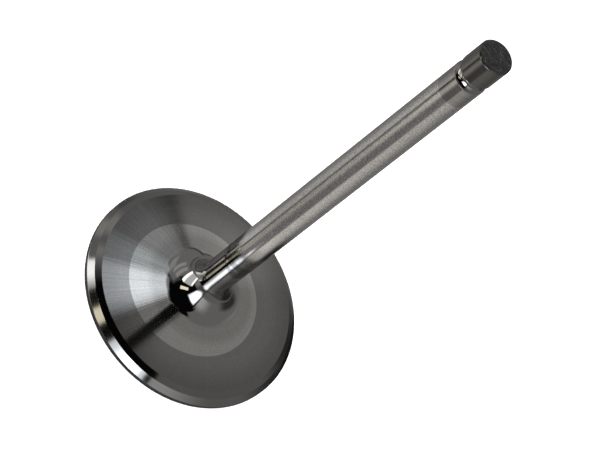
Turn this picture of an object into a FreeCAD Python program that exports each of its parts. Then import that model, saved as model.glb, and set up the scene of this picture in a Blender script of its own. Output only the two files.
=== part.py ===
"""Engine valve: one forged and turned piece, standing on its head with the stem up.

Millimetres. +Z runs up the stem. The origin is the centre of the combustion face, on the
plane that the head stands on. The head carries a margin, a 45 degree seat, a shallower back
cut and a conical back that sweeps into the stem through one large fillet. The stem has a
slightly slimmer polished neck, a half-round lock groove and a chamfered tip.
"""
import FreeCAD, Part
import Sketcher
import math
import os

SIZES = [
    ("head_diameter", 55.0, "across the margin"),
    ("margin_height", 1.4, "straight edge between the combustion face and the seat"),
    ("face_edge_break", 0.2, "chamfer round the combustion face"),
    ("seat_width", 1.32, "seat, measured along the radius"),
    ("seat_angle", 45.0, "seat, degrees from the face plane"),
    ("back_cut_width", 1.4, "back cut, measured along the radius"),
    ("back_cut_angle", 30.0, "back cut, degrees from the face plane"),
    ("underhead_angle", 10.5, "back of the head, degrees from the face plane"),
    ("neck_fillet", 7.7, "radius from the back of the head into the neck"),
    ("stem_diameter", 7.94, "ground stem that runs in the guide"),
    ("neck_relief", 0.04, "how far the neck lies under the stem, on the radius"),
    ("neck_top", 23.6, "height of the neck above the face"),
    ("neck_blend", 0.9, "length of the taper from the neck out to the stem"),
    ("overall_length", 127.0, "combustion face to tip"),
    ("groove_below_tip", 8.0, "tip to the middle of the lock groove"),
    ("groove_radius", 1.3, "half-round section of the lock groove"),
    ("groove_depth", 1.02, "lock groove, below the stem surface"),
    ("groove_edge_round", 0.1, "rounding of the two groove edges"),
    ("tip_chamfer", 0.25, "chamfer round the tip"),
]
FULL_TURN = 360
MATCH = 1e-4


def make_sheet(doc):
    """Put every driving size in a named cell."""
    sheet = doc.addObject("Spreadsheet::Sheet", "Sizes")
    for row, (name, value, note) in enumerate(SIZES, start=1):
        sheet.set("A%d" % row, name)
        sheet.set("B%d" % row, str(value))
        sheet.set("C%d" % row, note)
        sheet.setAlias("B%d" % row, name)
    doc.recompute()
    return sheet


def rise(run, degrees):
    """Height gained along a run at an angle from the face plane."""
    return run * math.tan(math.radians(degrees))


def new_sketch(body, name):
    """A sketch on the plane through the axis: its x is the radius, its y the height."""
    sketch = body.newObject("Sketcher::SketchObject", name)
    plane = next(f for f in body.Origin.OriginFeatures if f.Role == "XZ_Plane")
    sketch.AttachmentSupport = [(plane, "")]
    sketch.MapMode = "FlatFace"
    return sketch


def bind(sketch, name, constraint, expression):
    """Add one dimension to a sketch and tie it to the sheet."""
    index = sketch.addConstraint(constraint)
    sketch.renameConstraint(index, name)
    sketch.setExpression("Constraints." + name, expression)


def profile_corners(sheet):
    """Corners of the half section, from the axis at the face round to the axis at the tip."""
    head = sheet.head_diameter / 2
    stem = sheet.stem_diameter / 2
    neck = stem - sheet.neck_relief
    seat_in = head - sheet.seat_width
    cut_in = seat_in - sheet.back_cut_width
    seat_top = sheet.margin_height + rise(sheet.seat_width, sheet.seat_angle)
    cut_top = seat_top + rise(sheet.back_cut_width, sheet.back_cut_angle)
    cone_top = cut_top + rise(cut_in - neck, sheet.underhead_angle)
    return [
        (0, 0),
        (head, 0),
        (head, sheet.margin_height),
        (seat_in, seat_top),
        (cut_in, cut_top),
        (neck, cone_top),
        (neck, sheet.neck_top),
        (stem, sheet.neck_top + sheet.neck_blend),
        (stem, sheet.overall_length),
        (0, sheet.overall_length),
    ]


def turn_blank(body, sheet):
    """Revolve the half section of head, neck and stem, with its corners still sharp."""
    sketch = new_sketch(body, "half_section")
    corners = [FreeCAD.Vector(x, y, 0) for x, y in profile_corners(sheet)]
    count = len(corners)
    for i in range(count):
        sketch.addGeometry(Part.LineSegment(corners[i], corners[(i + 1) % count]), False)
    for i in range(count):
        sketch.addConstraint(Sketcher.Constraint("Coincident", i, 2, (i + 1) % count, 1))
    face, margin, seat, cut, cone, neck, blend, stem, tip, axis = range(count)
    sketch.addConstraint(Sketcher.Constraint("Coincident", face, 1, -1, 1))
    for line in (face, tip):
        sketch.addConstraint(Sketcher.Constraint("Horizontal", line))
    for line in (margin, neck, stem, axis):
        sketch.addConstraint(Sketcher.Constraint("Vertical", line))

    radii = (
        ("head_radius", face, 2, "Sizes.head_diameter / 2"),
        ("neck_radius", neck, 1, "Sizes.stem_diameter / 2 - Sizes.neck_relief"),
        ("stem_radius", stem, 1, "Sizes.stem_diameter / 2"),
    )
    for name, line, end, expression in radii:
        value = corners[(line + end - 1) % count].x
        bind(sketch, name, Sketcher.Constraint("DistanceX", -1, 1, line, end, value), expression)
    heights = (
        ("margin_top", margin, 2, "Sizes.margin_height"),
        ("neck_end", neck, 2, "Sizes.neck_top"),
        ("blend_end", blend, 2, "Sizes.neck_top + Sizes.neck_blend"),
        ("tip_height", tip, 1, "Sizes.overall_length"),
    )
    for name, line, end, expression in heights:
        value = corners[(line + end - 1) % count].y
        bind(sketch, name, Sketcher.Constraint("DistanceY", -1, 1, line, end, value), expression)
    widths = (
        ("seat_run", seat, sheet.seat_width, "Sizes.seat_width"),
        ("cut_run", cut, sheet.back_cut_width, "Sizes.back_cut_width"),
    )
    for name, line, value, expression in widths:
        bind(sketch, name, Sketcher.Constraint("DistanceX", line, 2, line, 1, value), expression)
    slopes = (
        ("seat_slope", seat, sheet.seat_angle, "(180 - Sizes.seat_angle) * 1 deg"),
        ("cut_slope", cut, sheet.back_cut_angle, "(180 - Sizes.back_cut_angle) * 1 deg"),
        ("cone_slope", cone, sheet.underhead_angle, "(180 - Sizes.underhead_angle) * 1 deg"),
    )
    for name, line, degrees, expression in slopes:
        bind(sketch, name, Sketcher.Constraint("Angle", line, math.radians(180 - degrees)), expression)
    return turn(body, sketch, "PartDesign::Revolution", "blank")


def turn(body, sketch, kind, name):
    """Revolve or groove a sketch a full turn about the axis of the valve."""
    feature = body.newObject(kind, name)
    feature.Profile = sketch
    feature.ReferenceAxis = (sketch, ["V_Axis"])
    feature.Angle = FULL_TURN
    body.Document.recompute()
    return feature


def ring_edge(feature, radius, height):
    """Name of the full circle of a shape that has this radius and height."""
    for number, edge in enumerate(feature.Shape.Edges, start=1):
        if not isinstance(edge.Curve, Part.Circle):
            continue
        same_radius = abs(edge.Curve.Radius - radius) < MATCH
        if same_radius and abs(edge.Curve.Center.z - height) < MATCH:
            return "Edge%d" % number
    raise ValueError("no ring of radius %.3f at height %.3f" % (radius, height))


def dress_rings(body, kind, name, rings, size, expression):
    """Fillet or chamfer full rings of the last feature, with the size tied to the sheet."""
    base = body.Tip
    feature = body.newObject(kind, name)
    feature.Base = (base, [ring_edge(base, radius, height) for radius, height in rings])
    feature.setExpression(size, expression)
    body.Document.recompute()
    return feature


def cut_lock_groove(body, sheet):
    """Turn the half-round groove that the valve locks grip, just under the tip."""
    sketch = new_sketch(body, "lock_groove_section")
    out = sheet.stem_diameter / 2 + sheet.groove_radius - sheet.groove_depth
    up = sheet.overall_length - sheet.groove_below_tip
    circle = Part.Circle(FreeCAD.Vector(out, up, 0), FreeCAD.Vector(0, 0, 1), sheet.groove_radius)
    tool = sketch.addGeometry(circle, False)
    bind(sketch, "groove_out", Sketcher.Constraint("DistanceX", -1, 1, tool, 3, out),
         "Sizes.stem_diameter / 2 + Sizes.groove_radius - Sizes.groove_depth")
    bind(sketch, "groove_up", Sketcher.Constraint("DistanceY", -1, 1, tool, 3, up),
         "Sizes.overall_length - Sizes.groove_below_tip")
    bind(sketch, "groove_section", Sketcher.Constraint("Radius", tool, sheet.groove_radius),
         "Sizes.groove_radius")
    return turn(body, sketch, "PartDesign::Groove", "lock_groove")


def groove_rims(sheet):
    """Radius and height of the two edges where the lock groove breaks the stem surface."""
    stem = sheet.stem_diameter / 2
    middle = sheet.overall_length - sheet.groove_below_tip
    half = math.sqrt(sheet.groove_radius ** 2 - (sheet.groove_radius - sheet.groove_depth) ** 2)
    return [(stem, middle - half), (stem, middle + half)]


def make_valve(doc, sheet):
    """The whole valve as one body."""
    body = doc.addObject("PartDesign::Body", "valve")
    body.Label = "valve"
    corners = profile_corners(sheet)
    head_rim, neck_foot, tip_rim = corners[1], corners[5], corners[8]
    turn_blank(body, sheet)
    dress_rings(body, "PartDesign::Fillet", "neck_sweep", [neck_foot], "Radius", "Sizes.neck_fillet")
    solid_volume = body.Shape.Volume
    cut_lock_groove(body, sheet)
    if body.Shape.Volume >= solid_volume:
        raise ValueError("the lock groove cut nothing")
    dress_rings(body, "PartDesign::Fillet", "groove_edges", groove_rims(sheet), "Radius",
                "Sizes.groove_edge_round")
    dress_rings(body, "PartDesign::Chamfer", "tip_bevel", [tip_rim], "Size", "Sizes.tip_chamfer")
    dress_rings(body, "PartDesign::Chamfer", "face_edge", [head_rim], "Size", "Sizes.face_edge_break")
    return body


def check_document(doc, bodies):
    """Stop before anything is written if a feature failed or a solid is not sound."""
    for item in doc.Objects:
        if "Invalid" in item.State or "Error" in item.State:
            raise ValueError("%s failed to build: %s" % (item.Name, item.State))
    for body in bodies:
        if body.Shape.isNull() or not body.Shape.isValid() or len(body.Shape.Solids) != 1:
            raise ValueError("%s is not one sound solid" % body.Label)


def main():
    doc = FreeCAD.newDocument("engine_valve")
    sheet = make_sheet(doc)
    bodies = [make_valve(doc, sheet)]
    doc.recompute()
    check_document(doc, bodies)
    os.makedirs("parts", exist_ok=True)
    for body in bodies:
        body.Shape.exportStep(os.path.join("parts", body.Label + ".step"))
        box = body.Shape.BoundBox
        print("%s: %.2f x %.2f x %.2f mm, %.0f cubic mm"
              % (body.Label, box.XLength, box.YLength, box.ZLength, body.Shape.Volume))


main()
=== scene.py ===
import math

import bpy
from mathutils import Matrix, Vector


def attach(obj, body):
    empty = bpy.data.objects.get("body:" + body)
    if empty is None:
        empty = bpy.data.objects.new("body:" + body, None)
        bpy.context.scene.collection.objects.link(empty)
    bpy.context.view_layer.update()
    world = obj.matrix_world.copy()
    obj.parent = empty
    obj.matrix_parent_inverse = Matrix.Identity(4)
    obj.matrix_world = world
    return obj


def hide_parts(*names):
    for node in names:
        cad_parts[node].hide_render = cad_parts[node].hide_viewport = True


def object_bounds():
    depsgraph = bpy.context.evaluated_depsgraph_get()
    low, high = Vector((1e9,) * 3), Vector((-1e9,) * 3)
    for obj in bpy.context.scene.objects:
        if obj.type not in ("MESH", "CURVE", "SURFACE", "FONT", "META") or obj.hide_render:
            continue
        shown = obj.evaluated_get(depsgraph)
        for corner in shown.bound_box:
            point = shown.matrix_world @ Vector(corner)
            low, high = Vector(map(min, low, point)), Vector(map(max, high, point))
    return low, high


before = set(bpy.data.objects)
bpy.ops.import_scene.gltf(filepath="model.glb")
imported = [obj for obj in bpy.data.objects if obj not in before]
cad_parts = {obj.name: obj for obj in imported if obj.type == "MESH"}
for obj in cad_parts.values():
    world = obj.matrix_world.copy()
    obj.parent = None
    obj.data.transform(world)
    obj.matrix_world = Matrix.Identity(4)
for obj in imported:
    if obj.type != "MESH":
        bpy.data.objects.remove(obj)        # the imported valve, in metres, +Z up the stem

mm = 0.001
cadBox = [list(corner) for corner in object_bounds()]
print("frame loaded, the valve is", round((cadBox[1][2] - cadBox[0][2]) / mm, 2), "mm long")


# small helpers
def deselectAll():
    if bpy.context.mode != "OBJECT":
        bpy.ops.object.mode_set(mode="OBJECT")
    bpy.ops.object.select_all(action="DESELECT")


def addNode(tree, kind, **settings):
    node = tree.nodes.new(kind)
    for name, value in settings.items():
        setattr(node, name, value)
    return node


def feed(tree, socket, value):       # link a socket, or set a plain value
    if isinstance(value, bpy.types.NodeSocket):
        tree.links.new(value, socket)
    else:
        socket.default_value = value


def calc(tree, operation, *values):
    node = addNode(tree, "ShaderNodeMath", operation=operation)
    for socket, value in zip(node.inputs, values):
        feed(tree, socket, value)
    return node.outputs[0]


def vectorCalc(tree, operation, first, second=None, scale=None):
    node = addNode(tree, "ShaderNodeVectorMath", operation=operation)
    feed(tree, node.inputs[0], first)
    if second is not None:
        feed(tree, node.inputs[1], second)
    if scale is not None:
        feed(tree, node.inputs["Scale"], scale)
    return node.outputs["Value" if operation in ("LENGTH", "DOT_PRODUCT") else "Vector"]


def ease(tree, value, low, high, toLow=0.0, toHigh=1.0):
    node = addNode(tree, "ShaderNodeMapRange", interpolation_type="SMOOTHSTEP")
    for name, number in (("Value", value), ("From Min", low), ("From Max", high),
                         ("To Min", toLow), ("To Max", toHigh)):
        feed(tree, node.inputs[name], number)
    return node.outputs[0]


# where a Mix node keeps its two inputs and its output, by the kind of data
mixSockets = {"RGBA": (6, 7, 2), "FLOAT": (2, 3, 0)}


def mixTwo(tree, kind, factor, low, high):
    node = addNode(tree, "ShaderNodeMix", data_type=kind)
    lowSocket, highSocket, result = mixSockets[kind]
    feed(tree, node.inputs["Factor"], factor)
    feed(tree, node.inputs[lowSocket], low)
    feed(tree, node.inputs[highSocket], high)
    return node.outputs[result]


def mixValue(tree, factor, low, high):
    return mixTwo(tree, "FLOAT", factor, low, high)


def mixColor(tree, factor, low, high):       # each colour is a socket, or three numbers
    low, high = [(*color, 1.0) if isinstance(color, tuple) else color for color in (low, high)]
    return mixTwo(tree, "RGBA", factor, low, high)


def blankMaterial(name):
    material = bpy.data.materials.new(name)
    material.use_nodes = True
    material.node_tree.nodes.clear()
    return material


def showSurface(tree, shader):
    tree.links.new(shader, addNode(tree, "ShaderNodeOutputMaterial").inputs["Surface"])


def newGroup(name, inputs, outputs):
    group = bpy.data.node_groups.new(name, "ShaderNodeTree")
    for socketName, default in inputs:
        socket = group.interface.new_socket(
            name=socketName, in_out="INPUT", socket_type="NodeSocketFloat"
        )
        socket.default_value = default
    for socketName, kind in outputs:
        group.interface.new_socket(
            name=socketName, in_out="OUTPUT", socket_type="NodeSocket" + kind
        )
    return group, addNode(group, "NodeGroupInput"), addNode(group, "NodeGroupOutput")


def useGroup(tree, group, **values):
    node = addNode(tree, "ShaderNodeGroup", node_tree=group)
    for name, value in values.items():
        feed(tree, node.inputs[name], value)
    return node


# camera, at the photograph's place
cameraView = {
    "lens": 170.4,
    "sensor": 36.0,
    "nearest": 0.02,
    "farthest": 20.0,
    "place": (0.002376, -0.404633, 0.524683),
    "tilt": 40.297,        # degrees up from looking straight down
    "roll": 52.055,        # the stem then runs up to the right
}


def buildCamera():
    data = bpy.data.cameras.new("photoCamera")
    data.lens = cameraView["lens"]
    data.sensor_width = cameraView["sensor"]
    data.clip_start = cameraView["nearest"]
    data.clip_end = cameraView["farthest"]
    camera = bpy.data.objects.new("photoCamera", data)
    bpy.context.scene.collection.objects.link(camera)
    tilt = Matrix.Rotation(math.radians(cameraView["tilt"]), 4, "X")
    roll = Matrix.Rotation(math.radians(cameraView["roll"]), 4, "Z")
    camera.matrix_world = Matrix.Translation(cameraView["place"]) @ tilt @ roll
    bpy.context.scene.camera = camera
    print("camera placed")


# studio: white floor, soft lamps that light only the floor, and cards that only the steel sees
# every finish is metallic, so the cards alone light the valve, and they are fitted to the photo
studio = {
    "floorHalf": 4.0,
    "floorDrop": 0.2,             # mm under the valve
    "floorTone": 0.8,
    "floorGlow": 0.52,            # on top of the light it catches; the steel doesn't see the floor
    "skyLight": 0.62,
    "tentRadius": 1.3,
    "tentTone": 0.004,
    "cardGrid": (40, 16),
    "wallCardStep": 0.012,        # each later card stands nearer, in front of the ones before it
    "floorCardDrop": 0.15,        # mm under the valve, for the first card on the floor
    "floorCardStep": 0.02,        # mm, and each later one lies higher
}
softLamps = {
    "keyLamp": {"azimuth": 172, "elevation": 40, "distance": 0.9, "size": 0.5, "power": 7.0},
    "topLamp": {"azimuth": 320, "elevation": 70, "distance": 0.9, "size": 0.6, "power": 5.6},
}

# azimuth runs from +Y towards +X, in degrees; the camera stands at 180, 50 up
# corners go round: low left, low right, high right, high left, as seen from the valve
# soft is the share of the card that fades at its left, right, low and high edge
wallCards = {
    "underBase": {"corners": ((0, -86), (360, -86), (360, 1), (0, 1)), "glow": 0.25,
                  "tint": (1.0, 0.985, 0.96), "soft": (0.0001, 0.0001, 0.0001, 0.01)},
    "underFar": {"corners": ((322, -56), (370, -56), (370, -16), (322, -16)), "glow": 0.28,
                 "tint": (1.0, 0.97, 0.93), "soft": (0.3, 0.3, 0.3, 0.4)},
    "underRight": {"corners": ((60, -74), (153, -74), (153, -28), (60, -28)), "glow": 0.93,
                   "tint": (1.0, 0.955, 0.90), "soft": (0.85, 0.04, 0.2, 0.5)},
    "underLeft": {"corners": ((237, -74), (312, -74), (312, -28), (237, -28)), "glow": 0.61,
                  "tint": (1.0, 0.975, 0.94), "soft": (0.10, 0.75, 0.2, 0.3)},
    "underLeftFar": {"corners": ((239, -45), (266, -45), (266, -30), (239, -30)), "glow": 1.0,
                     "tint": (1.0, 0.975, 0.94), "soft": (0.3, 0.5, 0.4, 0.2)},
    "underFront": {"corners": ((190, -74), (233, -74), (233, -28), (190, -28)), "glow": 0.46,
                   "tint": (1.0, 0.95, 0.88), "soft": (0.45, 0.1, 0.2, 0.3)},
    "underFrontFar": {"corners": ((186, -44), (229, -44), (229, -30), (186, -30)), "glow": 1.45,
                      "tint": (1.0, 0.95, 0.88), "soft": (0.6, 0.3, 0.3, 0.2)},
    "underSeam": {"corners": ((230.5, -74), (240, -74), (240, -28), (230.5, -28)), "glow": 0.03,
                  "tint": (1.0, 0.98, 0.95), "soft": (0.3, 0.3, 0.2, 0.2)},
    "frontShade": {"corners": ((146, -30), (198, -30), (198, 2), (146, 2)), "glow": 0.14,
                   "tint": (1.0, 0.98, 0.95), "soft": (0.08, 0.15, 0.2, 0.02)},
    "frontPatch": {"corners": ((194, -27), (242, -27), (230, -1), (200, -1)), "glow": 0.42,
                   "tint": (1.0, 0.96, 0.91), "soft": (0.2, 0.1, 0.15, 0.25)},
    "leftSill": {"corners": ((286, -9), (334, -9), (334, 2), (286, 2)), "glow": 0.17,
                 "tint": (1.0, 0.985, 0.965), "soft": (0.3, 0.1, 0.35, 0.02)},
    "rightField": {"corners": ((-12, 0), (150, 0), (128, 78), (-25, 84)), "glow": 0.29,
                   "tint": (1.0, 0.965, 0.92), "soft": (0.01, 0.03, 0.01, 0.05)},
    "rightNear": {"corners": ((-12, 10), (50, 34), (60, 84), (-12, 76)), "glow": 0.43,
                  "tint": (1.0, 0.965, 0.92), "soft": (0.01, 0.35, 0.2, 0.06)},
    "rightGlow": {"corners": ((92, 2), (150, 2), (144, 60), (92, 58)), "glow": 0.80,
                  "tint": (1.0, 0.985, 0.96), "soft": (0.85, 0.05, 0.15, 0.5)},
    "rightShade": {"corners": ((8, -14), (74, -14), (76, 24), (16, 24)), "glow": 0.06,
                   "tint": (1.0, 0.97, 0.93), "soft": (0.25, 0.45, 0.2, 0.4)},
    "farPanel": {"corners": ((340.3, 8), (372, 8), (372, 76), (340.3, 76)), "glow": 0.53,
                 "tint": (1.0, 0.965, 0.925), "soft": (0.02, 0.25, 0.2, 0.1)},
    "farFoot": {"corners": ((340.3, -60), (372, -60), (372, 14), (340.3, 14)), "glow": 0.28,
                "tint": (1.0, 0.965, 0.925), "soft": (0.02, 0.25, 0.2, 0.1)},
    "farShade": {"corners": ((337, -50), (378, -50), (378, -24), (337, -24)), "glow": 0.16,
                 "tint": (1.0, 0.97, 0.93), "soft": (0.3, 0.3, 0.3, 0.4)},
    "farGlow": {"corners": ((345, 6), (371, 6), (371, 56), (345, 56)), "glow": 0.66,
                "tint": (1.0, 0.965, 0.92), "soft": (0.5, 0.55, 0.4, 0.5)},
    "bellRim": {"corners": ((279, 57), (326, 60), (336, 80), (284, 74)), "glow": 0.42,
                "tint": (0.98, 0.99, 1.0), "soft": (0.25, 0.3, 0.2, 0.2)},
    "bellFoot": {"corners": ((246, 30), (300, 46), (292, 66), (258, 61)), "glow": 0.11,
                 "tint": (1.0, 0.98, 0.95), "soft": (0.25, 0.1, 0.1, 0.3)},
    "leftField": {"corners": ((256, 0), (338.1, 0), (338.1, 62), (263, 57)), "glow": 0.30,
                  "tint": (1.0, 0.985, 0.965), "soft": (0.12, 0.01, 0.01, 0.08)},
    "bellGlow": {"corners": ((296, 39), (326, 32), (324, 50), (297, 61)), "glow": 0.53,
                 "tint": (1.0, 0.965, 0.93), "soft": (0.25, 0.35, 0.25, 0.2)},
    "leftGlow": {"corners": ((322, 36), (338.1, 36), (338.1, 64), (322, 64)), "glow": 0.48,
                 "tint": (0.985, 0.99, 1.0), "soft": (0.45, 0.01, 0.35, 0.02)},
    "leftStep": {"corners": ((298, 53), (338.1, 53), (338.1, 64), (300, 64)), "glow": 0.80,
                 "tint": (0.93, 0.975, 1.0), "soft": (0.35, 0.01, 0.10, 0.02)},
    "leftBand": {"corners": ((298, 60), (338.1, 60), (338.1, 75), (300, 74)), "glow": 2.0,
                 "tint": (0.915, 0.95, 1.0), "soft": (0.62, 0.03, 0.16, 0.22)},
    "gapFill": {"corners": ((337.8, -14), (340.6, -14), (340.6, 52), (337.8, 52)), "glow": 0.13,
                "tint": (1.0, 0.985, 0.96), "soft": (0.12, 0.12, 0.1, 0.2)},
    "gapFoot": {"corners": ((336, -16), (343, -16), (343, 12), (336, 12)), "glow": 0.27,
                "tint": (1.0, 0.98, 0.95), "soft": (0.3, 0.3, 0.2, 0.5)},
    "softbox": {"corners": ((151.5, -3), (188, 0), (196, 41), (149.5, 51)), "glow": 2.3,
                "tint": (0.92, 0.95, 1.0), "soft": (0.06, 0.12, 0.25, 0.1)},
    "softboxCore": {"corners": ((154, -12), (187, -8), (190, 44), (153, 52)), "glow": 10.5,
                    "tint": (0.935, 0.955, 1.0), "soft": (0.38, 0.60, 0.5, 0.36)},
    "creamCard": {"corners": ((214, 23), (239, 43), (230, 51), (205, 31)), "glow": 2.25,
                  "tint": (1.0, 0.90, 0.68), "soft": (0.08, 0.08, 0.16, 0.16)},
    "panelBack": {"corners": ((238, -20), (279, -8), (248, 33), (212, 14)), "glow": 1.05,
                  "tint": (1.0, 0.98, 0.95), "soft": (0.02, 0.02, 0.01, 0.02)},
    "panelStripOne": {"corners": ((263, -9), (279, -9), (255.5, 31), (237, 30)), "glow": 3.4,
                      "tint": (1.0, 0.98, 0.955), "soft": (0.5, 0.14, 0.01, 0.03)},
    "panelStripTwo": {"corners": ((232, -20), (245, -20), (222, 13), (211, 12)), "glow": 3.3,
                      "tint": (1.0, 0.98, 0.96), "soft": (0.18, 0.5, 0.01, 0.08)},
    "warmStripe": {"corners": ((281, 2), (297, 4), (281, 48), (262, 45)), "glow": 0.61,
                   "tint": (1.0, 0.94, 0.87), "soft": (0.3, 0.3, 0.12, 0.15)},
    "paleStripe": {"corners": ((297, 8), (312, 8), (297, 52), (281, 50)), "glow": 0.60,
                   "tint": (1.0, 0.95, 0.89), "soft": (0.35, 0.4, 0.2, 0.2)},
}

# the same on the floor, close to the rim: corners are azimuth and millimetres from the axis
floorCards = {
    "rimSoft": {"corners": ((78, 28.6), (158, 28.6), (158, 34.5), (78, 34.5)), "glow": 0.52,
                "tint": (1.0, 0.955, 0.91), "soft": (0.25, 0.1, 0.05, 0.5)},
    "rimGleam": {"corners": ((157, 29.3), (178, 29.3), (175, 32.6), (161, 32.6)), "glow": 1.5,
                 "tint": (0.95, 0.965, 1.0), "soft": (0.3, 0.3, 0.1, 0.45)},
    "rimMat": {"corners": ((0, 27.3), (360, 27.3), (360, 29.4), (0, 29.4)), "glow": 0.10,
               "tint": (1.0, 0.98, 0.95), "soft": (0.0001, 0.0001, 0.0001, 0.3)},
    "rimShade": {"corners": ((28, 28), (112, 28), (112, 41.5), (28, 41.5)), "glow": 0.02,
                 "tint": (1.0, 0.98, 0.95), "soft": (0.21, 0.5, 0.05, 0.5)},
}


def aroundSpot(azimuth, elevation, distance):
    a = math.radians(azimuth)
    e = math.radians(elevation)
    return Vector((math.cos(e) * math.sin(a), math.cos(e) * math.cos(a), math.sin(e))) * distance


def floorSpot(azimuth, reach, height):
    a = math.radians(azimuth)
    return Vector((reach * mm * math.sin(a), reach * mm * math.cos(a), height * mm))


def edgeFadeGroup():
    group, inside, outside = newGroup(
        "edgeFade",
        [("Left", 0.1), ("Right", 0.1), ("Bottom", 0.1), ("Top", 0.1)],
        [("Mask", "Float")],
    )
    uv = addNode(group, "ShaderNodeSeparateXYZ")
    group.links.new(addNode(group, "ShaderNodeTexCoord").outputs["UV"], uv.inputs[0])
    across = uv.outputs[0]
    up = uv.outputs[1]
    sides = (
        ("Left", across),
        ("Right", calc(group, "SUBTRACT", 1.0, across)),
        ("Bottom", up),
        ("Top", calc(group, "SUBTRACT", 1.0, up)),
    )
    mask = 1.0
    for name, distance in sides:
        mask = calc(group, "MULTIPLY", mask, ease(group, distance, 0.0, inside.outputs[name]))
    group.links.new(mask, outside.inputs["Mask"])
    return group


def onlyInReflections(thing):
    thing.visible_camera = False
    thing.visible_diffuse = False
    thing.visible_shadow = False
    thing.visible_volume_scatter = False


def glowMaterial(name, color, strength, fade=None, soft=None):
    material = blankMaterial(name)
    tree = material.node_tree
    glow = addNode(tree, "ShaderNodeEmission")
    glow.inputs["Color"].default_value = (*color, 1.0)
    glow.inputs["Strength"].default_value = strength
    shader = glow.outputs[0]
    if fade:
        left, right, bottom, top = soft
        edges = useGroup(tree, fade, Left=left, Right=right, Bottom=bottom, Top=top)
        mix = addNode(tree, "ShaderNodeMixShader")
        tree.links.new(edges.outputs["Mask"], mix.inputs[0])
        tree.links.new(addNode(tree, "ShaderNodeBsdfTransparent").outputs[0], mix.inputs[1])
        tree.links.new(shader, mix.inputs[2])
        shader = mix.outputs[0]
    showSurface(tree, shader)
    return material


def bendCard(name, card, spot, fade):
    deselectAll()
    columns, rows = studio["cardGrid"]
    bpy.ops.mesh.primitive_grid_add(x_subdivisions=columns, y_subdivisions=rows, size=1.0)
    sheet = bpy.context.object
    sheet.name = name
    lowLeft, lowRight, highRight, highLeft = card["corners"]
    for vertex in sheet.data.vertices:
        across = vertex.co.x + 0.5
        up = vertex.co.y + 0.5
        low = [a + (b - a) * across for a, b in zip(lowLeft, lowRight)]
        high = [a + (b - a) * across for a, b in zip(highLeft, highRight)]
        vertex.co = spot(*[a + (b - a) * up for a, b in zip(low, high)])
    sheet.data.materials.append(glowMaterial(name, card["tint"], card["glow"], fade, card["soft"]))
    onlyInReflections(sheet)


def seenOrMirrored(tree):       # 1 for the rays that show a thing, 0 for those that only light by it
    path = addNode(tree, "ShaderNodeLightPath")
    seen = calc(tree, "MAXIMUM", path.outputs["Is Camera Ray"], path.outputs["Is Glossy Ray"])
    return calc(tree, "MAXIMUM", seen, path.outputs["Is Transmission Ray"])


def buildAir():       # white behind the valve; the tent hides it from the steel
    world = bpy.data.worlds.new("studioAir")
    world.use_nodes = True
    tree = world.node_tree
    tree.nodes.clear()
    air = addNode(tree, "ShaderNodeBackground")
    air.inputs["Color"].default_value = (1.0, 1.0, 1.0, 1.0)
    strength = mixValue(tree, seenOrMirrored(tree), studio["skyLight"], 1.0)
    tree.links.new(strength, air.inputs["Strength"])
    tree.links.new(air.outputs[0], addNode(tree, "ShaderNodeOutputWorld").inputs["Surface"])
    bpy.context.scene.world = world


def buildFloor():       # it clips to white, so next to no shadow shows
    deselectAll()
    bpy.ops.mesh.primitive_plane_add(
        size=2 * studio["floorHalf"], location=(0, 0, -studio["floorDrop"] * mm)
    )
    floor = bpy.context.object
    floor.name = "studioFloor"
    paper = blankMaterial("whitePaper")
    tree = paper.node_tree
    matte = addNode(tree, "ShaderNodeBsdfDiffuse")
    matte.inputs["Color"].default_value = (*[studio["floorTone"]] * 3, 1.0)
    glow = addNode(tree, "ShaderNodeEmission")
    strength = calc(tree, "MULTIPLY", seenOrMirrored(tree), studio["floorGlow"])
    tree.links.new(strength, glow.inputs["Strength"])
    both = addNode(tree, "ShaderNodeAddShader")
    tree.links.new(matte.outputs[0], both.inputs[0])
    tree.links.new(glow.outputs[0], both.inputs[1])
    showSurface(tree, both.outputs[0])
    floor.data.materials.append(paper)
    floor.visible_glossy = False       # the cards under the horizon are what the steel mirrors


def buildLamps():
    for name, values in softLamps.items():
        lamp = bpy.data.lights.new(name, "AREA")
        lamp.energy = values["power"]
        lamp.size = values["size"]
        holder = bpy.data.objects.new(name, lamp)
        bpy.context.scene.collection.objects.link(holder)
        holder.location = aroundSpot(values["azimuth"], values["elevation"], values["distance"])
        holder.rotation_euler = (-holder.location).to_track_quat("-Z", "Y").to_euler()
        holder.visible_camera = False
        holder.visible_glossy = False      # the cards are what the steel mirrors


def buildTentAndCards():
    radius = studio["tentRadius"]
    deselectAll()
    bpy.ops.mesh.primitive_uv_sphere_add(segments=48, ring_count=24, radius=radius)
    tent = bpy.context.object
    tent.name = "darkTent"
    tent.data.materials.append(glowMaterial("darkTent", (1.0, 1.0, 1.0), studio["tentTone"]))
    onlyInReflections(tent)
    fade = edgeFadeGroup()
    for name, card in wallCards.items():
        radius -= studio["wallCardStep"]
        bendCard(name, card, lambda a, e, r=radius: aroundSpot(a, e, r), fade)
    height = -studio["floorCardDrop"]
    for name, card in floorCards.items():
        bendCard(name, card, lambda a, r, h=height: floorSpot(a, r, h), fade)
        height += studio["floorCardStep"]


def buildStudio():
    bpy.context.scene.view_settings.view_transform = "Standard"
    buildAir()
    buildFloor()
    buildLamps()
    buildTentAndCards()
    print("studio built with", len(wallCards) + len(floorCards), "cards")


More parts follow.
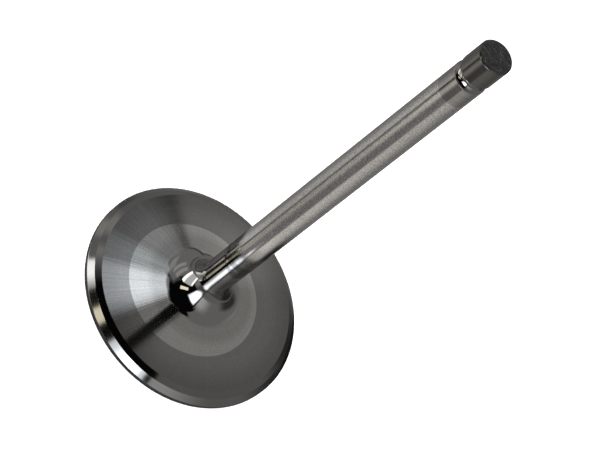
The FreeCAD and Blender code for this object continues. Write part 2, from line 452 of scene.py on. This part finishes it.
# the valve: one turned outline, in millimetres and degrees
valveForm = {
    "headRadius": (cadBox[1][0] - cadBox[0][0]) / 2 / mm,
    "length": (cadBox[1][2] - cadBox[0][2]) / mm,
    "faceBreak": 0.2,
    "marginHeight": 1.4,
    "seatWidth": 1.32,
    "seatAngle": 45.0,
    "backCutWidth": 1.4,
    "backCutAngle": 30.0,
    "coneAngle": 10.5,
    "polishRadius": 10.05,      # the turned cone ends here and the polished foot begins
    "neckSweep": 7.7,
    "neckRadius": 3.93,
    "neckTop": 23.6,
    "neckRound": 1.0,
    "stemRadius": 3.97,
    "stemStart": 24.5,
    "landStart": 111.2,
    "grooveMiddle": 119.0,
    "grooveRadius": 1.3,
    "grooveDepth": 1.02,
    "tipChamfer": 0.25,
    "cornerRound": 0.05,
}
# how finely it is turned: shares are of the flat face's radius
valveMesh = {
    "around": 256,
    "sweepStep": 1.7,           # degrees, on the neck sweep
    "roundStep": 18.0,          # degrees, on the small roundings
    "grooveSteps": 18,
    "longFlat": 0.6,            # mm: a flat longer than this gets rings of its own
    "holdStep": 0.12,           # mm, to the ring that holds each end of it
    "longestStep": 6.0,
    "faceStart": 0.9,
    "faceRings": (0.97, 0.8, 0.6, 0.4, 0.2, 0.06),
    "tipEnd": 0.4,
    "tipRings": (0.8, 0.5, 0.2),
}


def climb(run, degrees):       # height gained along a run
    return run * math.tan(math.radians(degrees))


def valveMarks():       # radii and heights that follow from the form
    f = valveForm
    backRadius = f["headRadius"] - f["seatWidth"]
    coneRadius = backRadius - f["backCutWidth"]
    seatTop = f["marginHeight"] + climb(f["seatWidth"], f["seatAngle"])
    coneStart = seatTop + climb(f["backCutWidth"], f["backCutAngle"])
    grooveArc = math.acos((f["grooveRadius"] - f["grooveDepth"]) / f["grooveRadius"])
    return {
        "backRadius": backRadius,
        "coneRadius": coneRadius,
        "seatTop": seatTop,
        "coneStart": coneStart,
        "coneEnd": coneStart + climb(coneRadius - f["neckRadius"], f["coneAngle"]),
        "polishStart": coneStart + climb(coneRadius - f["polishRadius"], f["coneAngle"]),
        "grooveArc": grooveArc,
        "grooveHalf": f["grooveRadius"] * math.sin(grooveArc),
        "grooveCentre": f["stemRadius"] + f["grooveRadius"] - f["grooveDepth"],
    }


def cornerArc(before, corner, after, radius, step):
    back = (before - corner).normalized()
    ahead = (after - corner).normalized()
    half = back.angle(ahead) / 2
    reach = radius / math.tan(half)
    start = corner + back * reach
    end = corner + ahead * reach
    middle = corner + (back + ahead).normalized() * (radius / math.sin(half))
    first = start - middle
    turn = (end - middle).angle_signed(first)
    count = max(3, math.ceil(abs(math.degrees(turn)) / step))
    arc = []
    for i in range(count + 1):
        angle = turn * i / count
        spoke = Vector((first.x * math.cos(angle) - first.y * math.sin(angle),
                        first.x * math.sin(angle) + first.y * math.cos(angle)))
        arc.append(middle + spoke)
    return arc


def valveCorners():       # radius, height and rounding, from the combustion face up to the tip
    f = valveForm
    m = valveMarks()
    small = f["cornerRound"]
    corners = [
        (f["headRadius"] * valveMesh["faceStart"], 0.0, 0.0),
        (f["headRadius"] - f["faceBreak"], 0.0, small),
        (f["headRadius"], f["faceBreak"], small),
        (f["headRadius"], f["marginHeight"], small),
        (m["backRadius"], m["seatTop"], small),
        (m["coneRadius"], m["coneStart"], small),
        (f["neckRadius"], m["coneEnd"], f["neckSweep"]),
        (f["neckRadius"], f["neckTop"], f["neckRound"]),
        (f["stemRadius"], f["stemStart"], f["neckRound"]),
    ]
    steps = valveMesh["grooveSteps"]
    for i in range(steps + 1):
        angle = m["grooveArc"] * (1 - 2 * i / steps)
        corners.append((m["grooveCentre"] - f["grooveRadius"] * math.cos(angle),
                        f["grooveMiddle"] - f["grooveRadius"] * math.sin(angle),
                        small if i in (0, steps) else 0.0))
    corners += [
        (f["stemRadius"], f["length"] - f["tipChamfer"], small),
        (f["stemRadius"] - f["tipChamfer"], f["length"], small),
        (f["stemRadius"] * valveMesh["tipEnd"], f["length"], 0.0),
    ]
    return corners


def roundedCorners():
    corners = valveCorners()
    spots = [Vector(corner[:2]) for corner in corners]
    rounded = []
    for i in range(1, len(corners) - 1):
        radius = corners[i][2]
        if radius:
            step = valveMesh["sweepStep" if radius == valveForm["neckSweep"] else "roundStep"]
            rounded += cornerArc(spots[i - 1], spots[i], spots[i + 1], radius, step)
        else:
            rounded.append(spots[i])
    return rounded


def valveOutline():
    rounded = roundedCorners()
    outline = [rounded[0]]
    for spot in rounded[1:]:       # long flats get a ring near each end, and a few between
        gap = spot - outline[-1]
        if gap.length > valveMesh["longFlat"]:
            hold = gap.normalized() * valveMesh["holdStep"]
            first = outline[-1] + hold
            last = spot - hold
            count = math.ceil((last - first).length / valveMesh["longestStep"])
            outline += [first.lerp(last, i / count) for i in range(count + 1)]
        outline.append(spot)
    return outline


def turnValve():
    outline = valveOutline()
    around = valveMesh["around"]
    deselectAll()
    bpy.ops.mesh.primitive_circle_add(
        vertices=around, radius=outline[0].x * mm, fill_type="NGON", location=(0, 0, 0)
    )
    valve = bpy.context.object
    valve.name = "turnedValve"
    bpy.ops.object.mode_set(mode="EDIT")
    bpy.ops.mesh.select_mode(type="FACE")
    bpy.ops.mesh.select_all(action="SELECT")
    for last, spot in zip(outline, outline[1:]):       # the top face rises ring by ring
        rise = (spot.y - last.y) * mm
        scale = spot.x / last.x
        bpy.ops.mesh.extrude_region_move(TRANSFORM_OT_translate={"value": (0, 0, rise)})
        bpy.ops.transform.resize(value=(scale, scale, 1.0), center_override=(0, 0, 0))
    closeFlat(valveMesh["tipRings"])
    bpy.ops.mesh.select_all(action="DESELECT")
    bpy.ops.object.mode_set(mode="OBJECT")
    for face in valve.data.polygons:
        face.select = len(face.vertices) == around and face.center.z < mm
    bpy.ops.object.mode_set(mode="EDIT")
    closeFlat(valveMesh["faceRings"])
    bpy.ops.mesh.select_all(action="SELECT")
    bpy.ops.mesh.normals_make_consistent(inside=False)
    bpy.ops.object.mode_set(mode="OBJECT")
    bpy.ops.object.shade_smooth()
    print("valve turned with", len(outline), "rings and", len(valve.data.polygons), "faces")
    return valve


def closeFlat(shares):       # rings inside a flat face, then one fan of triangles at the middle
    last = 1.0
    for share in shares:
        bpy.ops.mesh.extrude_region_move()
        bpy.ops.transform.resize(value=(share / last, share / last, 1.0), center_override=(0, 0, 0))
        last = share
    bpy.ops.mesh.poke()


# shared effects
def axisPlacesGroup():
    group, _, outside = newGroup(
        "axisPlaces",
        [],
        [("Radius", "Float"), ("Height", "Float"), ("Around", "Vector"), ("Place", "Vector")],
    )
    objectPlace = addNode(group, "ShaderNodeTexCoord").outputs["Object"]
    place = vectorCalc(group, "SCALE", objectPlace, scale=1 / mm)
    split = addNode(group, "ShaderNodeSeparateXYZ")
    group.links.new(place, split.inputs[0])
    flat = vectorCalc(group, "MULTIPLY", place, (1.0, 1.0, 0.0))
    group.links.new(vectorCalc(group, "LENGTH", flat), outside.inputs["Radius"])
    group.links.new(split.outputs[2], outside.inputs["Height"])
    group.links.new(vectorCalc(group, "NORMALIZE", flat), outside.inputs["Around"])
    group.links.new(place, outside.inputs["Place"])
    return group


def roundNoise(group, around, spread, lift, detail, roughness):       # read on a circle, at a lift
    circle = vectorCalc(group, "SCALE", around, scale=spread)
    upward = addNode(group, "ShaderNodeCombineXYZ")
    group.links.new(lift, upward.inputs[2])
    noise = addNode(group, "ShaderNodeTexNoise")
    noise.inputs["Scale"].default_value = 1.0
    noise.inputs["Detail"].default_value = detail
    noise.inputs["Roughness"].default_value = roughness
    where = vectorCalc(group, "ADD", circle, upward.outputs[0])
    group.links.new(where, noise.inputs["Vector"])
    return noise.outputs[0]


def turningLinesGroup(places):       # fine lines round the axis, that fade in and out on their way
    group, inside, outside = newGroup(
        "turningLines", [("Across", 0.0), ("Pitch", 0.2), ("Drift", 0.6)], [("Lines", "Float")]
    )
    axis = useGroup(group, places)
    lift = calc(group, "DIVIDE", inside.outputs["Across"], inside.outputs["Pitch"])
    lines = roundNoise(group, axis.outputs["Around"], inside.outputs["Drift"], lift, 2.0, 0.5)
    group.links.new(lines, outside.inputs["Lines"])
    return group


def radialStreaksGroup(places):      # faint rays from the middle, as a wide turned face shows them
    group, inside, outside = newGroup(
        "radialStreaks", [("Count", 60.0), ("Drift", 0.05)], [("Streaks", "Float")]
    )
    axis = useGroup(group, places)
    lift = calc(group, "MULTIPLY", axis.outputs["Radius"], inside.outputs["Drift"])
    streaks = roundNoise(group, axis.outputs["Around"], inside.outputs["Count"], lift, 3.0, 0.6)
    group.links.new(streaks, outside.inputs["Streaks"])
    return group


def sandGrainGroup(places):          # short-range speckle of a blasted or lapped surface
    group, inside, outside = newGroup(
        "sandGrain", [("Size", 0.3)], [("Grain", "Float"), ("Clouds", "Float")]
    )
    axis = useGroup(group, places)
    for name, share, detail in (("Grain", 1.0, 2.0), ("Clouds", 0.08, 3.0)):
        noise = addNode(group, "ShaderNodeTexNoise")
        noise.inputs["Detail"].default_value = detail
        scale = calc(group, "DIVIDE", share, inside.outputs["Size"])
        group.links.new(scale, noise.inputs["Scale"])
        group.links.new(axis.outputs["Place"], noise.inputs["Vector"])
        group.links.new(noise.outputs[0], outside.inputs[name])
    return group


# finishes: pitches, depths and radii are in millimetres
# a contrast or spread is the share by which a mark changes a colour or a roughness, up and down
turnedHead = {
    "innerColor": (0.368, 0.368, 0.362),
    "outerColor": (0.224, 0.225, 0.224),
    "edgeColor": (0.162, 0.162, 0.160),
    "innerRoughness": 0.10,
    "outerRoughness": 0.13,
    "roughnessSpread": 0.1,
    "anisotropy": 0.8,
    "paintedReflectionRadii": (9.5, 17.5),        # a painted reflection: the inner band's colour grows lighter from here to here
    "paintedReflectionGain": (0.86, 1.08),
    "bandRadius": 16.6,
    "bandBlur": 0.12,
    "bandShift": (-1.0, -1.5, 0.0),
    "edgeRadii": (17.5, 25.0),        # the outer band grows darker from here to here
    "linePitch": 0.16,
    "lineContrast": 0.04,
    "grainSize": 0.30,
    "grainContrast": 0.09,
    "streakCount": 36.0,
    "streakContrast": (0.015, 0.06),        # away from the side of painted sheen, and on it
    "thinStreakCount": 80.0,
    "thinStreakContrast": (0.03, 0.15),
    "thinStreakRidge": 0.6,
    "sheenAndRidgeSide": (-0.906, -0.423, 0.0),       # on this side the streaks are strongest: painted sheen in the colour, and deeper ridges in the bump
    "sheenAndRidgeSpread": (0.42, 0.9),
    "quietRidge": 0.12,
    "ridgeDepth": 0.006,
    "relief": 0.8,
}
polishedNeck = {
    "color": (0.36, 0.36, 0.357),
    "footColor": (0.28, 0.28, 0.277),
    "footRadii": (9.3, 10.2),
    "roughness": 0.045,
}
satinStem = {
    "startColor": (0.610, 0.605, 0.592),
    "color": (0.465, 0.460, 0.450),
    "startRoughness": 0.09,
    "roughness": 0.19,
    "roughnessSpread": 0.12,
    "startHeight": 26.4,
    "startBlur": 0.3,
    "blendHeight": 30.4,
    "fullHeight": 50.0,
    "grainSize": 0.32,
    "grainContrast": (0.10, 0.26),        # at the start, and at full height
    "cloudContrast": 0.03,
    "linePitch": 0.12,
    "lineShare": 0.5,
    "ridgeDepth": 0.004,
    "relief": 0.15,
}
tipFace = {
    "color": (0.055, 0.055, 0.057),
    "blotchScale": 1.6,
    "blotchDetail": 6.0,
    "blotchRoughness": 0.65,
    "blotchGain": (0.55, 1.6),
    "roughnessRange": (0.32, 0.52),
    "scratchColor": (0.25, 0.25, 0.245),
    "scratchScale": 0.9,
    "scratchTurn": 35,
    "scratchStretch": (0.35, 1.6, 1.0),
    "scratchWidth": 0.05,
    "scratchShare": 0.55,
    "ridgeDepth": 0.03,
    "relief": 0.6,
}
# what all the plainly ground finishes share, and then each of them
plainGround = {
    "cloudSize": 0.25,
    "roughnessSpread": 0.15,
    "relief": 0.5,
}
combustionFace = {
    "color": (0.40, 0.40, 0.39),
    "roughness": 0.2,
    "across": "Radius",
    "linePitch": 0.22,
    "contrast": 0.06,
    "ridgeDepth": 0.004,
    "anisotropy": 0.5,
}
groundMargin = {
    "color": (0.36, 0.36, 0.355),
    "roughness": 0.10,
    "across": "Height",
    "linePitch": 0.10,
    "contrast": 0.05,
    "ridgeDepth": 0.002,
    "anisotropy": 0.3,
}
groundSeat = {
    "color": (0.27, 0.27, 0.268),
    "roughness": 0.105,
    "across": "Radius",
    "linePitch": 0.12,
    "contrast": 0.03,
    "ridgeDepth": 0.0008,
    "anisotropy": 0.3,
}
backCut = {
    "color": (0.245, 0.245, 0.242),
    "roughness": 0.09,
    "across": "Radius",
    "linePitch": 0.12,
    "contrast": 0.03,
    "ridgeDepth": 0.0008,
    "anisotropy": 0.3,
}
groundLand = {
    "color": (0.31, 0.305, 0.295),
    "roughness": 0.13,
    "across": "Height",
    "linePitch": 0.14,
    "contrast": 0.10,
    "ridgeDepth": 0.003,
    "anisotropy": 0.0,
}
grooveMirror = {
    "color": (0.31, 0.305, 0.295),
    "roughness": 0.06,
    "across": "Height",
    "linePitch": 0.2,
    "contrast": 0.02,
    "ridgeDepth": 0.0003,
    "anisotropy": 0.0,
}
tipLand = {
    "color": (0.134, 0.130, 0.124),
    "roughness": 0.20,
    "across": "Height",
    "linePitch": 0.16,
    "contrast": 0.10,
    "ridgeDepth": 0.003,
    "anisotropy": 0.0,
}


# the part of a noise's range over which it changes a colour or a roughness
noiseSpan = {
    "color": (0.25, 0.75),
    "roughness": (0.2, 0.8),
    "blotch": (0.3, 0.7),
}


def steel(name):
    material = blankMaterial(name)
    tree = material.node_tree
    body = addNode(tree, "ShaderNodeBsdfPrincipled")
    body.inputs["Metallic"].default_value = 1.0
    showSurface(tree, body.outputs[0])
    return material, tree, body


def shade(tree, color, mask, darkest, lightest):       # a colour times a gain that follows a noise
    gain = ease(tree, mask, *noiseSpan["color"], darkest, lightest)
    return vectorCalc(tree, "SCALE", color, scale=gain)


def mottle(tree, color, mask, contrast):       # the same, as much darker as lighter
    darkest = calc(tree, "SUBTRACT", 1.0, contrast)
    lightest = calc(tree, "ADD", 1.0, contrast)
    return shade(tree, color, mask, darkest, lightest)


def vary(tree, roughness, mask, spread):       # the same for a roughness
    gain = ease(tree, mask, *noiseSpan["roughness"], 1 - spread, 1 + spread)
    return calc(tree, "MULTIPLY", roughness, gain)


def bump(tree, body, height, depth, strength):
    node = addNode(tree, "ShaderNodeBump")
    node.inputs["Strength"].default_value = strength
    node.inputs["Distance"].default_value = depth * mm
    tree.links.new(height, node.inputs["Height"])
    tree.links.new(node.outputs[0], body.inputs["Normal"])


def brushRound(tree, body, amount):       # the gloss spreads across lines that run round the axis
    tangent = addNode(tree, "ShaderNodeTangent", direction_type="RADIAL", axis="Z")
    tree.links.new(tangent.outputs[0], body.inputs["Tangent"])
    body.inputs["Anisotropic"].default_value = amount
    body.inputs["Anisotropic Rotation"].default_value = 0.25


def headBands(tree, axis):       # the colour of the two turned bands, and 0 to 1 from inner to outer
    values = turnedHead
    shifted = vectorCalc(tree, "SUBTRACT", axis.outputs["Place"], values["bandShift"])
    reach = vectorCalc(tree, "LENGTH", vectorCalc(tree, "MULTIPLY", shifted, (1.0, 1.0, 0.0)))
    blur = values["bandBlur"]
    outer = ease(tree, reach, values["bandRadius"] - blur, values["bandRadius"] + blur)
    # painted reflection: the inner band's colour lightens outward
    outward = ease(tree, axis.outputs["Radius"], *values["paintedReflectionRadii"])
    inner = shade(tree, values["innerColor"], outward, *values["paintedReflectionGain"])
    toEdge = ease(tree, axis.outputs["Radius"], *values["edgeRadii"])
    dark = mixColor(tree, toEdge, values["outerColor"], values["edgeColor"])
    return mixColor(tree, outer, inner, dark), outer


def turnedHeadMaterial(groups):
    material, tree, body = steel("turnedHead")
    values = turnedHead
    axis = useGroup(tree, groups["places"])
    lines = useGroup(
        tree, groups["lines"], Across=axis.outputs["Radius"], Pitch=values["linePitch"]
    ).outputs[0]
    streaks = useGroup(tree, groups["streaks"], Count=values["streakCount"]).outputs[0]
    thin = useGroup(tree, groups["streaks"], Count=values["thinStreakCount"]).outputs[0]
    grain = useGroup(tree, groups["grain"], Size=values["grainSize"]).outputs["Grain"]
    # the colour streaks are stronger on one side: painted sheen where light falls across them
    side = vectorCalc(tree, "DOT_PRODUCT", axis.outputs["Around"], values["sheenAndRidgeSide"])
    sheenAndRidges = ease(tree, side, *values["sheenAndRidgeSpread"])
    color, outer = headBands(tree, axis)
    color = mottle(tree, color, streaks, mixValue(tree, sheenAndRidges, *values["streakContrast"]))
    color = mottle(tree, color, thin, mixValue(tree, sheenAndRidges, *values["thinStreakContrast"]))
    color = mottle(tree, color, grain, values["grainContrast"])
    color = mottle(tree, color, lines, values["lineContrast"])
    tree.links.new(color, body.inputs["Base Color"])
    rough = mixValue(tree, outer, values["innerRoughness"], values["outerRoughness"])
    rough = vary(tree, rough, lines, values["roughnessSpread"])
    tree.links.new(rough, body.inputs["Roughness"])
    ridges = calc(tree, "ADD", streaks, calc(tree, "MULTIPLY", thin, values["thinStreakRidge"]))
    ridges = calc(tree, "MULTIPLY", ridges, mixValue(tree, sheenAndRidges, values["quietRidge"], 1.0))
    bump(tree, body, ridges, values["ridgeDepth"], values["relief"])
    brushRound(tree, body, values["anisotropy"])
    return material


def neckAndStemMaterial(groups):
    material, tree, body = steel("neckAndStem")
    polish = polishedNeck
    satin = satinStem
    axis = useGroup(tree, groups["places"])
    height = axis.outputs["Height"]
    start = satin["startHeight"]
    full = satin["fullHeight"]
    onStem = ease(tree, height, start - satin["startBlur"], start + satin["startBlur"])
    upStem = ease(tree, height, satin["blendHeight"], full)
    grain = useGroup(tree, groups["grain"], Size=satin["grainSize"])
    lines = useGroup(tree, groups["lines"], Across=height, Pitch=satin["linePitch"]).outputs[0]
    grained = mixColor(tree, upStem, satin["startColor"], satin["color"])
    contrast = ease(tree, height, start, full, *satin["grainContrast"])
    grained = mottle(tree, grained, grain.outputs["Grain"], contrast)
    grained = mottle(tree, grained, grain.outputs["Clouds"], satin["cloudContrast"])
    toFoot = ease(tree, axis.outputs["Radius"], *polish["footRadii"])
    polished = mixColor(tree, toFoot, polish["color"], polish["footColor"])
    tree.links.new(mixColor(tree, onStem, polished, grained), body.inputs["Base Color"])
    rough = ease(tree, height, start, full, satin["startRoughness"], satin["roughness"])
    rough = vary(tree, rough, grain.outputs["Grain"], satin["roughnessSpread"])
    rough = mixValue(tree, onStem, polish["roughness"], rough)
    tree.links.new(rough, body.inputs["Roughness"])
    tooth = calc(tree, "MULTIPLY", lines, satin["lineShare"])
    tooth = calc(tree, "MULTIPLY", calc(tree, "ADD", grain.outputs["Grain"], tooth), upStem)
    bump(tree, body, tooth, satin["ridgeDepth"], satin["relief"])
    return material


def plainGroundMaterial(name, values, groups):
    material, tree, body = steel(name)
    across = useGroup(tree, groups["places"]).outputs[values["across"]]
    lines = useGroup(tree, groups["lines"], Across=across, Pitch=values["linePitch"]).outputs[0]
    grain = useGroup(tree, groups["grain"], Size=plainGround["cloudSize"])
    color = mottle(tree, values["color"], lines, values["contrast"])
    color = mottle(tree, color, grain.outputs["Clouds"], values["contrast"] / 2)
    tree.links.new(color, body.inputs["Base Color"])
    rough = vary(tree, values["roughness"], lines, plainGround["roughnessSpread"])
    tree.links.new(rough, body.inputs["Roughness"])
    bump(tree, body, lines, values["ridgeDepth"], plainGround["relief"])
    if values["anisotropy"]:
        brushRound(tree, body, values["anisotropy"])
    return material


def tipFaceMaterial(groups):
    material, tree, body = steel("tipFace")
    values = tipFace
    place = useGroup(tree, groups["places"]).outputs["Place"]
    blotch = addNode(tree, "ShaderNodeTexNoise")
    blotch.inputs["Scale"].default_value = values["blotchScale"]
    blotch.inputs["Detail"].default_value = values["blotchDetail"]
    blotch.inputs["Roughness"].default_value = values["blotchRoughness"]
    tree.links.new(place, blotch.inputs["Vector"])
    stretch = addNode(tree, "ShaderNodeMapping")
    stretch.inputs["Rotation"].default_value = (0, 0, math.radians(values["scratchTurn"]))
    stretch.inputs["Scale"].default_value = values["scratchStretch"]
    tree.links.new(place, stretch.inputs["Vector"])
    scratch = addNode(tree, "ShaderNodeTexVoronoi", feature="DISTANCE_TO_EDGE")
    scratch.inputs["Scale"].default_value = values["scratchScale"]
    tree.links.new(stretch.outputs[0], scratch.inputs["Vector"])
    thin = ease(tree, scratch.outputs["Distance"], 0.0, values["scratchWidth"], 1.0, 0.0)
    thin = calc(tree, "MULTIPLY", thin, values["scratchShare"])
    color = shade(tree, values["color"], blotch.outputs[0], *values["blotchGain"])
    color = mixColor(tree, thin, color, values["scratchColor"])
    tree.links.new(color, body.inputs["Base Color"])
    rough = ease(tree, blotch.outputs[0], *noiseSpan["blotch"], *values["roughnessRange"])
    tree.links.new(rough, body.inputs["Roughness"])
    bump(tree, body, blotch.outputs[0], values["ridgeDepth"], values["relief"])
    return material


# heights between which the two flat ends keep their finishes, in millimetres
flatEnds = {
    "underFace": -1.0,
    "faceTop": 0.02,
    "tipDepth": 0.01,
}


def finishValve(valve):
    places = axisPlacesGroup()
    groups = {
        "places": places,
        "lines": turningLinesGroup(places),
        "streaks": radialStreaksGroup(places),
        "grain": sandGrainGroup(places),
    }
    f = valveForm
    m = valveMarks()
    zones = (       # each finish starts at its height and goes on up to the next
        (flatEnds["underFace"], plainGroundMaterial("combustionFace", combustionFace, groups)),
        (flatEnds["faceTop"], plainGroundMaterial("groundMargin", groundMargin, groups)),
        (f["marginHeight"], plainGroundMaterial("groundSeat", groundSeat, groups)),
        (m["seatTop"], plainGroundMaterial("backCut", backCut, groups)),
        (m["coneStart"], turnedHeadMaterial(groups)),
        (m["polishStart"], neckAndStemMaterial(groups)),
        (f["landStart"], plainGroundMaterial("groundLand", groundLand, groups)),
        (f["grooveMiddle"] - m["grooveHalf"],
         plainGroundMaterial("grooveMirror", grooveMirror, groups)),
        (f["grooveMiddle"] + m["grooveHalf"], plainGroundMaterial("tipLand", tipLand, groups)),
        (f["length"] - flatEnds["tipDepth"], tipFaceMaterial(groups)),
    )
    for height, material in zones:
        valve.data.materials.append(material)
    for face in valve.data.polygons:
        height = face.center.z / mm
        face.material_index = max(i for i, zone in enumerate(zones) if height > zone[0])
    print("finishes given:", ", ".join(zone[1].name for zone in zones))


buildCamera()
buildStudio()
valve = turnValve()
finishValve(valve)
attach(valve, "root")
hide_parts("valve")
